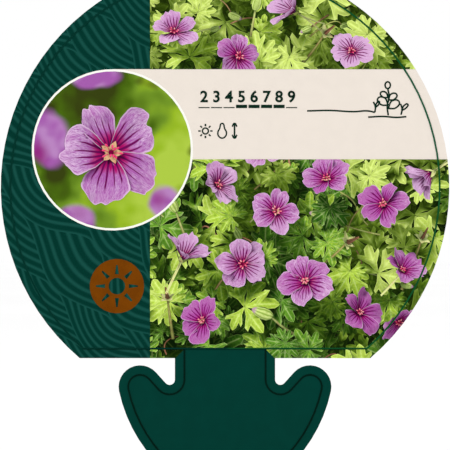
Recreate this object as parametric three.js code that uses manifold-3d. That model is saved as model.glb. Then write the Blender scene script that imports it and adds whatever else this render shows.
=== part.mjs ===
// A printed pot label for a hardy geranium: a die-cut plastic sheet with a round picture disc above a
// neck and an anchor-shaped tab. The neck sits in the slot of a pot's rim, and the two barbs of the tab
// keep it from pulling out. Each ink area of the print is a thin film on the front of the sheet: ground
// colours first, then leaves and line work, then blooms and their eyes.
//
// Millimetres, +Z up, the print facing -Y. The origin is on the back of the sheet, in the middle of the
// neck. Outlines are drawn in the plane of the print: x to the right, and y for what stands up as Z.

import * as THREE from "three";
import { mergeVertices } from "three/addons/utils/BufferGeometryUtils.js";
import Module from "manifold-3d";

const TAU = 2 * Math.PI;
const DEGREE = Math.PI / 180;

// The sheet.
const SHEET = 0.5; // thickness of the plastic
const INK = 0.05; // thickness of one ink film
const DISC_RADIUS = 47;
const DISC_Y = 38.5; // height of the disc's centre above the slot
const FLAT_Y = 2.7; // the disc's flat lower edge, which stands on the pot's rim
const NECK_HALF = 10.5;
const NOTCH_RADIUS = 1.1; // the rounded bottom of the notch beside the neck
const BARB_RADIUS = 4.5; // the round end of each barb
const BARB = new THREE.Vector2(17.8, -3.3); // centre of the right barb's round end
const BARB_SLOPE = 48 * DEGREE; // fall of the barb's upper edge towards the neck
const SIDE_RADIUS = 31.3; // the long curve from barb to tip
const SIDE_X = 8.4; // its centre lies this far past the middle
const TIP_RADIUS = 4;
const CHORD = 0.03; // how far a facet may lie inside its arc
const MERGE = 1e-4; // corners closer than this are one

// The print.
const LINE_INSET = 2; // the border line runs this far inside the edge
const LINE_WIDTH = 0.36;
const LINE_CLEARANCE = 0.1; // between the border line and the inks beside it
const PANEL_EDGE_X = -15.7; // right edge of the green panel
const BAND_LOW_Y = 44.35;
const BAND_HIGH_Y = 63.25;
const INSET_CENTRE = new THREE.Vector2(-23.6, 46.35);
const INSET_RADIUS = 16.9;
const RING_WIDTH = 0.45;
const TAB_INK_RISE = 2; // how far the tab's green reaches above the disc's flat edge
const TAB_INK_HALF = 8.4; // half its width up there
const BADGE_CENTRE = new THREE.Vector2(-22.65, 17.8);
const BADGE_RADIUS = 5.7;
const SUN_RADIUS = 1.75; // the sun left clear in the badge
const SUN_RAYS = 8;
const RAY_START = 2.5; // the rays' reach from the badge's centre
const RAY_END = 4.4;
const RAY_HALVES = [0.42, 0.16]; // half a ray's width at its start and at its end

// The plant in the pictures.
const PETALS = 5;
const SAMPLES_PER_PETAL = 10;
const PETAL_GAP = 0.5; // how deep the cut between two petals goes
const PETAL_ROUNDNESS = 3.6;
const PETAL_NOTCH = 0.07; // the shallow notch in a petal's tip
const NOTCH_SHARE = 0.22;
const EYE_SHARE = 0.2; // the dark eye's size in its bloom
const EYE_WAIST = 0.5;
const SAMPLES_PER_EYE = 20;
const INSET_BLOOM = { x: -24.2, y: 45.6, size: 11.6, turn: 20, tilt: 0.94, lean: 30 };

// Each bloom's centre, its size from there to a petal's tip, its turn, and how it leans: tilt is the
// share of its width left along the direction at right angles to lean. Angles are in degrees.
const BLOOMS = [
  { x: -10.8, y: 70.8, size: 5.2, turn: 8, tilt: 0.74, lean: 80 },
  { x: 2.6, y: 65.9, size: 5.4, turn: 60, tilt: 0.92, lean: 20 },
  { x: 14.8, y: 75.2, size: 4.6, turn: 25, tilt: 0.55, lean: 150 },
  { x: 26.6, y: 66.8, size: 5.0, turn: 33, tilt: 0.84, lean: 100 },
  { x: -1.8, y: 38.8, size: 5.2, turn: 15, tilt: 0.7, lean: 30 },
  { x: 10.6, y: 33.2, size: 5.6, turn: 50, tilt: 0.92, lean: 70 },
  { x: 21.4, y: 40.0, size: 5.2, turn: 22, tilt: 0.8, lean: 110 },
  { x: 33.4, y: 34.8, size: 5.5, turn: 58, tilt: 0.88, lean: 140 },
  { x: 37.0, y: 20.8, size: 4.8, turn: 5, tilt: 0.6, lean: 55 },
  { x: -9.0, y: 23.4, size: 5.0, turn: 40, tilt: 0.55, lean: 65 },
  { x: 3.4, y: 22.4, size: 5.8, turn: 12, tilt: 0.94, lean: 10 },
  { x: 17.0, y: 18.6, size: 6.0, turn: 30, tilt: 0.9, lean: 125 },
  { x: -4.4, y: 10.4, size: 5.3, turn: 52, tilt: 0.78, lean: 160 },
  { x: 27.9, y: 12.0, size: 5.2, turn: 47, tilt: 0.72, lean: 35 },
];

// One lobe of a leaf from one cut to the next: place across the lobe from -1 to 1, and share of its length.
const LOBE = [
  [-1, 0.34],
  [-0.7, 0.64],
  [-0.52, 0.86],
  [-0.26, 0.76],
  [0, 1],
  [0.26, 0.76],
  [0.52, 0.86],
  [0.7, 0.64],
];
const LOBE_STEP = 62 * DEGREE;
const LOBE_LENGTHS = [0.74, 0.92, 1, 0.92, 0.74];
const STALK_CUT = 0.16; // the cut where the stalk meets the blade
const LEAF_PITCH = 13.4; // between neighbouring leaves
const LEAF_START = 5; // the first row above a picture's lower edge
const LEAF_SIZE = 8.2; // from the stalk to the longest tip
const LEAF_JITTER = 2.4;
const LEAF_LEAST_AREA = 40; // a leaf left smaller than this by its neighbours is dropped
const BRIGHT_SHARE = 0.5; // of the leaves
const LEAF_SEED = 7;

// The colours of the plastic and the inks.
const WHITE = 0xf3f3ee;
const RING_WHITE = 0xfdfcf4;
const TAB_GREEN = 0x013a31;
const PANEL_GREEN = 0x0b4239;
const LINE_GREEN = 0x00472f;
const CREAM = 0xf0e4da;
const COPPER = 0x7a3d00;
const PICTURE_GREEN = 0x3a5620;
const INSET_GREEN = 0x86a63a;
const SHEET_ROUGHNESS = 0.5;
const INK_ROUGHNESS = 0.42;
const LEAF_GREENS = [0x93b93f, 0x54852f];
const PETAL_LILAC = 0xb27dbf;
const EYE_MAGENTA = 0xa82062;

const wasm = await Module();
wasm.setup();

// A small seeded generator of numbers from 0 to 1.
function mulberry(seed) {
  let state = seed >>> 0;
  return () => {
    state = (state + 0x6d2b79f5) >>> 0;
    let mixed = Math.imul(state ^ (state >>> 15), 1 | state);
    mixed = (mixed + Math.imul(mixed ^ (mixed >>> 7), 61 | mixed)) ^ mixed;
    return ((mixed ^ (mixed >>> 14)) >>> 0) / 4294967296;
  };
}

// Points along an arc, both ends included, with facets within CHORD of it.
function arc(centre, radius, from, to) {
  const step = 2 * Math.acos(1 - CHORD / radius);
  const count = Math.max(2, Math.ceil(Math.abs(to - from) / step));
  return Array.from({ length: count + 1 }, (_, i) => {
    const angle = from + ((to - from) * i) / count;
    return new THREE.Vector2(centre.x + radius * Math.cos(angle), centre.y + radius * Math.sin(angle));
  });
}

function circle(centre, radius) {
  return arc(centre, radius, 0, TAU).slice(0, -1);
}

// The label's outline, moved inwards by inset, counter-clockwise from the neck's upper left corner. Round
// stretches run tangent into their neighbours, so an inset changes their radii and not their centres.
function labelOutline(inset) {
  const disc = new THREE.Vector2(0, DISC_Y);
  const discRadius = DISC_RADIUS - inset;
  const corner = Math.asin((FLAT_Y + inset - DISC_Y) / discRadius);
  const barbRadius = BARB_RADIUS - inset;
  const notchRadius = NOTCH_RADIUS + inset;
  const tipRadius = TIP_RADIUS - inset;

  // The left half; the right half is its mirror image.
  const barb = new THREE.Vector2(-BARB.x, BARB.y);
  const slopeNormal = new THREE.Vector2(Math.sin(BARB_SLOPE), Math.cos(BARB_SLOPE));
  const slopeAngle = slopeNormal.angle();
  const notchX = -(NECK_HALF + NOTCH_RADIUS);
  const notchRise = (BARB_RADIUS + NOTCH_RADIUS - slopeNormal.x * (notchX - barb.x)) / slopeNormal.y;
  const notch = new THREE.Vector2(notchX, barb.y + notchRise);
  const reach = SIDE_RADIUS - BARB_RADIUS;
  const side = new THREE.Vector2(SIDE_X, barb.y + Math.sqrt(reach ** 2 - (SIDE_X - barb.x) ** 2));
  const tip = new THREE.Vector2(0, side.y - Math.sqrt((SIDE_RADIUS - TIP_RADIUS) ** 2 - SIDE_X ** 2));
  const barbAngle = barb.clone().sub(side).angle();
  const tipAngle = tip.clone().sub(side).angle();

  const left = [
    new THREE.Vector2(-(NECK_HALF - inset), FLAT_Y + inset),
    ...arc(notch, notchRadius, 0, slopeAngle - Math.PI),
    ...arc(barb, barbRadius, slopeAngle, barbAngle),
    ...arc(side, SIDE_RADIUS - inset, barbAngle, tipAngle).slice(1),
    ...arc(tip, tipRadius, tipAngle, 1.5 * Math.PI).slice(1),
  ];
  const right = left.slice(0, -1).reverse();
  const mirrored = right.map((point) => new THREE.Vector2(-point.x, point.y));
  return [...left, ...mirrored, ...arc(disc, discRadius, corner, Math.PI - corner)];
}

// The closed outline through spokes of [angle, length], scaled, turned and narrowed as a tilted plant part.
function tiltedOutline(spokes, { x, y, size, turn, tilt, lean }) {
  const origin = new THREE.Vector2();
  const centre = new THREE.Vector2(x, y);
  return spokes.map(([angle, length]) => {
    const point = new THREE.Vector2(size * length, 0);
    point.rotateAround(origin, angle + (turn - lean) * DEGREE);
    point.y *= tilt;
    return point.rotateAround(origin, lean * DEGREE).add(centre);
  });
}

function evenSpokes(count, length) {
  return Array.from({ length: count }, (_, i) => [(TAU * i) / count, length((TAU * i) / count)]);
}

function bloomOutline(bloom) {
  const spokes = evenSpokes(PETALS * SAMPLES_PER_PETAL, (angle) => {
    const petal = (angle * PETALS) / TAU;
    const off = 2 * Math.abs(petal - Math.round(petal)); // 0 along a petal's middle, 1 between two petals
    const shoulder = 1 - PETAL_GAP * off ** PETAL_ROUNDNESS;
    return shoulder * (1 - PETAL_NOTCH * Math.exp(-((off / NOTCH_SHARE) ** 2)));
  });
  return tiltedOutline(spokes, bloom);
}

function eyeOutline(bloom) {
  const spokes = evenSpokes(SAMPLES_PER_EYE, (angle) => {
    return EYE_WAIST + (1 - EYE_WAIST) * Math.cos((angle * PETALS) / 2) ** 2;
  });
  return tiltedOutline(spokes, { ...bloom, size: bloom.size * EYE_SHARE });
}

function leafOutline(leaf) {
  const middle = (LOBE_LENGTHS.length - 1) / 2;
  const spokes = LOBE_LENGTHS.flatMap((length, i) =>
    LOBE.map(([across, share]) => [(i - middle + across / 2) * LOBE_STEP, length * share]),
  );
  const lastCut = [(middle + 1 / 2) * LOBE_STEP, LOBE_LENGTHS.at(-1) * LOBE[0][1]];
  return tiltedOutline([...spokes, lastCut, [Math.PI, STALK_CUT]], leaf);
}

// The clear parts of the badge: a small round sun inside a ring of tapered rays.
function sunHoles() {
  const rays = Array.from({ length: SUN_RAYS }, (_, i) => {
    const corners = [
      [RAY_START, -RAY_HALVES[0]],
      [RAY_END, -RAY_HALVES[1]],
      [RAY_END, RAY_HALVES[1]],
      [RAY_START, RAY_HALVES[0]],
    ];
    return corners.map(([along, across]) => {
      const corner = new THREE.Vector2(along, across);
      return corner.rotateAround(new THREE.Vector2(), (TAU * i) / SUN_RAYS).add(BADGE_CENTRE);
    });
  });
  return [circle(BADGE_CENTRE, SUN_RADIUS), ...rays];
}

// A flat piece of this thickness with its back at the given height above the sheet's back.
function slab(outline, back, thickness, holes = []) {
  const shape = new THREE.Shape(outline);
  shape.holes = holes.map((hole) => new THREE.Path(hole));
  const geometry = new THREE.ExtrudeGeometry(shape, { depth: thickness, bevelEnabled: false });
  return geometry.translate(0, 0, back);
}

function layerBack(layer) {
  return SHEET + layer * INK;
}

function film(outline, layer, holes = []) {
  return slab(outline, layerBack(layer), INK, holes);
}

function solid(geometry) {
  const bare = geometry.clone();
  bare.deleteAttribute("normal");
  bare.deleteAttribute("uv");
  const merged = mergeVertices(bare, MERGE);
  const vertProperties = merged.attributes.position.array;
  const triVerts = new Uint32Array(merged.index.array);
  return new wasm.Manifold(new wasm.Mesh({ numProp: 3, vertProperties, triVerts }));
}

function geometryOf(cut) {
  const { vertProperties, triVerts } = cut.getMesh();
  const geometry = new THREE.BufferGeometry();
  geometry.setAttribute("position", new THREE.BufferAttribute(vertProperties, 3));
  geometry.setIndex(new THREE.BufferAttribute(triVerts, 1));
  geometry.computeVertexNormals();
  return geometry;
}

function largestBody(cut) {
  return cut.decompose().sort((a, b) => b.volume() - a.volume())[0];
}

// A cutter with this outline, through every layer.
function cutter(outline) {
  return solid(slab(outline, -SHEET, 4 * SHEET));
}

function rectangle(lowX, highX, lowY, highY) {
  const corners = [
    [lowX, lowY],
    [highX, lowY],
    [highX, highY],
    [lowX, highY],
  ];
  return corners.map(([x, y]) => new THREE.Vector2(x, y));
}

const FAR = 2 * DISC_RADIUS;
const tabRise = [
  new THREE.Vector2(NECK_HALF, FLAT_Y),
  new THREE.Vector2(TAB_INK_HALF, FLAT_Y + TAB_INK_RISE),
  new THREE.Vector2(-TAB_INK_HALF, FLAT_Y + TAB_INK_RISE),
  new THREE.Vector2(-NECK_HALF, FLAT_Y),
];
const discSide = cutter(rectangle(-FAR, FAR, FLAT_Y, FAR)).subtract(cutter(tabRise));
const pictureSide = cutter(rectangle(PANEL_EDGE_X, FAR, -FAR, FAR));
const bandStrip = cutter(rectangle(INSET_CENTRE.x, FAR, BAND_LOW_Y, BAND_HIGH_Y));
const aboveBand = cutter(rectangle(-FAR, FAR, BAND_HIGH_Y, FAR));
const belowBand = cutter(rectangle(-FAR, FAR, -FAR, BAND_LOW_Y));
const insetHole = cutter(circle(INSET_CENTRE, INSET_RADIUS));
const insideLine = cutter(labelOutline(LINE_INSET + LINE_WIDTH / 2 + LINE_CLEARANCE));

const label = new THREE.Group();
label.rotation.x = Math.PI / 2; // stands the drawn outlines up, facing -Y

function add(name, geometry, color, roughness = INK_ROUGHNESS) {
  const mesh = new THREE.Mesh(geometry, new THREE.MeshStandardMaterial({ color, roughness, metalness: 0 }));
  mesh.name = name;
  label.add(mesh);
}

// The ground colours, side by side on the sheet.
function addGrounds() {
  const face = solid(film(labelOutline(0), 0));
  const disc = face.intersect(discSide);
  const panel = disc.subtract(pictureSide).subtract(bandStrip).subtract(insetHole);
  const picture = disc.intersect(pictureSide).subtract(insetHole);
  add("ink_tab_green", geometryOf(face.subtract(discSide)), TAB_GREEN);
  add("ink_panel_green", geometryOf(largestBody(panel)), PANEL_GREEN);
  add("ink_band_cream", geometryOf(disc.intersect(bandStrip).subtract(insetHole)), CREAM);
  add("ink_picture_upper", geometryOf(picture.intersect(aboveBand)), PICTURE_GREEN);
  add("ink_picture_lower", geometryOf(picture.intersect(belowBand)), PICTURE_GREEN);
}

function addInset() {
  const rim = circle(INSET_CENTRE, INSET_RADIUS);
  const inner = circle(INSET_CENTRE, INSET_RADIUS - RING_WIDTH);
  add("ink_inset_ring", film(rim, 0, [inner]), RING_WHITE);
  add("ink_inset_ground", film(inner, 0), INSET_GREEN);
  add("ink_inset_bloom", film(bloomOutline(INSET_BLOOM), 1), PETAL_LILAC);
  add("ink_inset_eye", film(eyeOutline(INSET_BLOOM), 2), EYE_MAGENTA);
}

function addBorderLine() {
  const outer = labelOutline(LINE_INSET - LINE_WIDTH / 2);
  const inner = labelOutline(LINE_INSET + LINE_WIDTH / 2);
  add("ink_border_line", film(outer, 1, [inner]), LINE_GREEN);
}

// Leaves on a staggered grid over one picture, each trimmed to the picture and to the leaves before it.
// Returns the leaves joined, for cutting what lies over them.
function addLeaves(picture, lowY, highY, random, names) {
  const rowRise = LEAF_PITCH * Math.sin(TAU / 6);
  let taken = wasm.Manifold.union([]);
  for (let row = 0; lowY + row * rowRise < highY; row += 1) {
    for (let x = PANEL_EDGE_X + (row % 2) * 0.5 * LEAF_PITCH; x < DISC_RADIUS; x += LEAF_PITCH) {
      const leaf = {
        x: x + (random() - 0.5) * LEAF_JITTER,
        y: lowY + row * rowRise + (random() - 0.5) * LEAF_JITTER,
        size: LEAF_SIZE * (0.85 + 0.3 * random()),
        turn: 360 * random(),
        tilt: 0.7 + 0.3 * random(),
        lean: 180 * random(),
      };
      const colour = LEAF_GREENS[random() < BRIGHT_SHARE ? 0 : 1];
      const trimmed = solid(film(leafOutline(leaf), 1)).intersect(picture).subtract(taken);
      if (trimmed.volume() < LEAF_LEAST_AREA * INK) continue;
      const kept = largestBody(trimmed);
      taken = taken.add(kept);
      names.push(`ink_leaf_${String(names.length + 1).padStart(2, "0")}`);
      add(names.at(-1), geometryOf(kept), colour);
    }
  }
  return taken;
}

// Each bloom fills down to the ground around the leaves under it.
function addBlooms(pictures, leaves) {
  BLOOMS.forEach((bloom, i) => {
    const number = String(i + 1).padStart(2, "0");
    const whole = solid(slab(bloomOutline(bloom), layerBack(1), 2 * INK));
    add(`ink_bloom_${number}`, geometryOf(whole.intersect(pictures).subtract(leaves)), PETAL_LILAC);
    add(`ink_eye_${number}`, film(eyeOutline(bloom), 3), EYE_MAGENTA);
  });
}

add("label_sheet", slab(labelOutline(0), 0, SHEET), WHITE, SHEET_ROUGHNESS);
addGrounds();
addInset();
add("ink_sun_badge", film(circle(BADGE_CENTRE, BADGE_RADIUS), 1, sunHoles()), COPPER);
addBorderLine();
const pictures = pictureSide.intersect(discSide).subtract(insetHole).intersect(insideLine);
const upperPicture = pictures.intersect(aboveBand);
const lowerPicture = pictures.intersect(belowBand);
const random = mulberry(LEAF_SEED);
const leafNames = [];
const discTop = DISC_Y + DISC_RADIUS;
const lowerLeaves = addLeaves(lowerPicture, FLAT_Y + LEAF_START, BAND_LOW_Y, random, leafNames);
const upperLeaves = addLeaves(upperPicture, BAND_HIGH_Y + LEAF_START, discTop, random, leafNames);
addBlooms(upperPicture.add(lowerPicture), lowerLeaves.add(upperLeaves));

export default label;
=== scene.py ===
"""Round plant label with a barbed tab: white plastic sheet, printed on its front.

The picture areas are grown as small plants in depth, lit once for their print colours, and then
pressed flat into the thin relief of the ink. Plants and writing are made in millimetres and scaled
at the end."""

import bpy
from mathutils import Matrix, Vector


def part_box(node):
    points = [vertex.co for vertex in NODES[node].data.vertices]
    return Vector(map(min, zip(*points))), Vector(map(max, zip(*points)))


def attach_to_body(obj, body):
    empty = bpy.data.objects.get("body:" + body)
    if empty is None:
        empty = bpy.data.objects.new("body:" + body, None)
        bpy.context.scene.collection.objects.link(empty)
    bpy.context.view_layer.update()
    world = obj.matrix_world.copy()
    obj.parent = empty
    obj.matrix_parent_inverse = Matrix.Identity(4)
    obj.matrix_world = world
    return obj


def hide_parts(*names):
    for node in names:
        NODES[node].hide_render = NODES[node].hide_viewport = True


bl_info = {
    "name": "Round Plant Label",
    "version": (1, 0, 0),
    "blender": (4, 5, 0),
    "location": "View3D > Sidebar > Plant Label",
    "description": "Dresses the packed solids of a round plant label with its print and plastic",
    "category": "Object",
}

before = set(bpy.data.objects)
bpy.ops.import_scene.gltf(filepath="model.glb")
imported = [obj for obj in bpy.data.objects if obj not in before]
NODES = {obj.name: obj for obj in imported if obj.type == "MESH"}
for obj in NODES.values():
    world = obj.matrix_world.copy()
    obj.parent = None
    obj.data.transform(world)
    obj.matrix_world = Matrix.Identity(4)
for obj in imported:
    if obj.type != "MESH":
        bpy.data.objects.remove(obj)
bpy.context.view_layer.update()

import heapq
import itertools
import math
import random

import bmesh
import bpy
from bpy.props import FloatProperty, FloatVectorProperty, IntProperty, PointerProperty
from mathutils import Matrix, Vector, noise
from mathutils.bvhtree import BVHTree

MM = 0.001


def box_mm(node):
    """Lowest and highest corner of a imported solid, in millimetres."""
    low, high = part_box(node)
    return low / MM, high / MM


SHEET_LOW, SHEET_HIGH = box_mm("label_sheet")
BAND_LOW, BAND_HIGH = box_mm("ink_band_cream")
PANEL_EDGE = box_mm("ink_panel_green")[1].x
TAB_HIGH = box_mm("ink_tab_green")[1].z
RING_LOW, RING_HIGH = box_mm("ink_inset_ring")
INSET = (RING_LOW + RING_HIGH) / 2
INSET_RADIUS = (RING_HIGH.x - RING_LOW.x) / 2
GROUND_FRONT = box_mm("ink_picture_lower")[0].y

# The disc's flat lower edge, and half the width of the green neck there and at the tab's top.
FLAT_EDGE, NECK_HALF, NECK_TOP_HALF = 2.7, 10.5, 8.4
# The border line's width, and the height and half length of its bar across the top of the neck.
LINE_WIDTH, LINE_FOOT, LINE_NECK_HALF = 0.36, 4.7, 8.32

# While the plants grow, the viewer looks along +Y from FAR_OUT. DEEP to NEAR is the depth, before the ground
# at 0, that is pressed into the relief, and the others are the depths of blooms, side heads and stems.
FAR_OUT = -200.0
DEEP, NEAR, INSET_DEEP, INSET_NEAR = -2.0, 40.0, 4, 20
BLOOM_DEPTH, INSET_BLOOM_DEPTH, HEAD_DEPTH, STEM_DEPTHS = 29, 10, 28.0, (16, 23)
# Back and front of the relief, in both pictures and in the inset, and the fronts of the band's writing and of
# the border line.
FOLIAGE_BACK, BLOOM_FRONT = -0.553, -0.640
INSET_BACK, INSET_FRONT = -0.556, -0.66
WRITING_FRONT, LINE_FRONT = -0.60, -0.655

# Where the blooms of the two pictures open: number of the CAD node, place, radius, turn, squeeze and lean.
BLOOMS = [
    (1, -10.8, 70.8, 5.2, 8, 0.74, 80),
    (2, 2.6, 65.9, 5.4, 60, 0.92, 20),
    (3, 14.8, 75.2, 4.8, 25, 0.42, 150),
    (4, 26.6, 66.8, 5.0, 33, 0.84, 100),
    (5, -1.8, 38.8, 5.2, 15, 0.7, 30),
    (6, 10.6, 33.2, 5.6, 50, 0.92, 70),
    (7, 21.4, 40.0, 5.2, 22, 0.8, 110),
    (8, 33.4, 34.8, 5.5, 58, 0.88, 140),
    (9, 37.0, 20.8, 4.8, 5, 0.6, 55),
    (10, -9.0, 23.4, 5.2, 40, 0.40, 65),
    (11, 3.4, 22.4, 5.8, 12, 0.94, 10),
    (12, 17.0, 18.6, 6.0, 30, 0.9, 125),
    (13, -4.4, 10.4, 5.3, 52, 0.78, 160),
    (14, 27.9, 12.0, 5.2, 47, 0.72, 35),
]
# More blooms between them, half hidden by the band, the edge or a turn to the side: name and the same values.
SIDE_BLOOMS = [
    ("bloom_side", 43.4, 41.6, 5.0, 40, 0.30, 215),
    ("bloom_band", 7.4, 45.8, 5.0, 20, 0.80, 90),
    ("bloom_edge", 36.2, 10.6, 4.8, 11, 0.70, 300),
]
# The inset's large bloom: place, radius, turn, squeeze and lean.
INSET_BLOOM = (-24.2, 45.6, 11.6, 20, 0.94, 30)
# Spent heads and buds before the leaves: x and z of the tip, the way it points in degrees, the length of its
# stalk, its size, and whether it is spent.
HEADS = [
    (25.4, 26.8, 25, 8.5, 1.9, True),
    (-10.4, 33.8, 118, 7.5, 2.1, False),
    (9.4, 11.6, 160, 8.0, 2.4, False),
    (41.2, 27.6, 62, 9.0, 1.8, True),
    (-12.0, 15.0, 100, 6.5, 1.7, True),
    (6.4, 76.0, 75, 9.0, 1.9, False),
    (20.8, 70.6, 40, 9.5, 1.8, True),
]
SUN = Vector((-0.42, -0.70, 0.58)).normalized()


# ---------------------------------------------------------------- sizes and colours a user may change


def linear(colour):
    """Scene-linear colour of a hex code; a colour that is linear already stays as it is."""
    if not isinstance(colour, str):
        return tuple(colour)
    parts = [int(colour[i : i + 2], 16) / 255 for i in (0, 2, 4)]
    return tuple(c / 12.92 if c <= 0.04045 else ((c + 0.055) / 1.055) ** 2.4 for c in parts)


def colour_prop(name, code, description):
    """A colour setting with its default from a hex code."""
    return FloatVectorProperty(
        name=name, subtype="COLOR", size=3, min=0, max=1, default=linear(code), description=description
    )


def length_prop(name, value, description):
    """A length setting in millimetres, shown as a plain number."""
    return FloatProperty(name=name, default=value, min=0, description=description + ", in millimetres")


class LabelSizes(bpy.types.PropertyGroup):
    """Sizes of the print."""

    disc_radius: length_prop("Disc radius", 47.0, "Radius of the round disc")
    disc_height: length_prop("Disc height", 38.5, "Height of the disc's centre over the mount")
    leaf_size: length_prop("Leaf size", 6.7, "Mean radius of a leaf in the pictures")
    leaf_pitch: length_prop("Leaf pitch", 5.2, "Mean distance between two leaves of one layer")
    leaf_layers: IntProperty(name="Leaf layers", default=4, min=1, description="Layers of leaves in depth")
    hatch_pitch: length_prop("Hatch pitch", 1.58, "Distance between two stripes of the panel's hatching")
    lens_width: length_prop("Lens width", 9.6, "Width of the lenses that the hatching runs in")
    lens_length: length_prop("Lens length", 30.0, "Length of the lenses that the hatching runs in")
    stroke: length_prop("Stroke", 0.4, "Width of the band's line drawing")
    grain: FloatProperty(name="Grain", default=0.12, min=0, max=1, description="Strength of the grain")


class LabelColours(bpy.types.PropertyGroup):
    """Colours of the plastic and the inks."""

    white: colour_prop("White", "e4e4df", "Plastic of the sheet")
    tab_green: colour_prop("Tab green", "013a31", "Tab")
    panel_green: colour_prop("Panel green", "00352c", "Panel between its stripes")
    panel_stripe: colour_prop("Panel stripe", "144d44", "Stripes of the panel")
    cream: colour_prop("Cream", "ece2d7", "Band")
    copper: colour_prop("Copper", "733c02", "Sign on the panel")
    line_green: colour_prop("Line green", "08281c", "Numbers, signs and line drawing of the band")
    leaf_bright: colour_prop("Bright leaf", "a2c03c", "Leaves in the sun")
    leaf_middle: colour_prop("Middle leaf", "62922a", "Leaves in soft light")
    leaf_dark: colour_prop("Dark leaf", "2c5a14", "Leaves in the shade")
    depths: colour_prop("Depths", "111b06", "Gaps between the leaves")
    petal: colour_prop("Petal", "ba79ba", "Outer part of the petals")
    petal_deep: colour_prop("Deep petal", "a63a98", "Inner part of the petals")
    petal_base: colour_prop("Petal base", "b4005c", "Base of the petals")
    petal_vein: colour_prop("Petal vein", "6e0056", "Veins of the petals")
    inset_petal: colour_prop("Inset petal", "b07cb8", "Outer part of the large bloom's petals")
    inset_petal_deep: colour_prop("Deep inset petal", "a44aa2", "Inner part of the large bloom's petals")
    petal_rim: colour_prop("Petal rim", "e6c6e4", "Rim of the petals")


# ---------------------------------------------------------------- materials

INK_ROUGHNESS, INK_GLOSS = 0.46, 0.02


class Value:
    """A value that nodes work out; plain arithmetic on it adds the nodes for that."""

    def __init__(self, look, socket):
        self.look, self.socket = look, socket

    def __add__(self, other):
        return self.look.math("ADD", self, other)

    def __sub__(self, other):
        return self.look.math("SUBTRACT", self, other)

    def __rsub__(self, other):
        return self.look.math("SUBTRACT", other, self)

    def __mul__(self, other):
        return self.look.math("MULTIPLY", self, other)

    def __truediv__(self, other):
        return self.look.math("DIVIDE", self, other)

    def __abs__(self):
        return self.look.math("ABSOLUTE", self)


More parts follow.
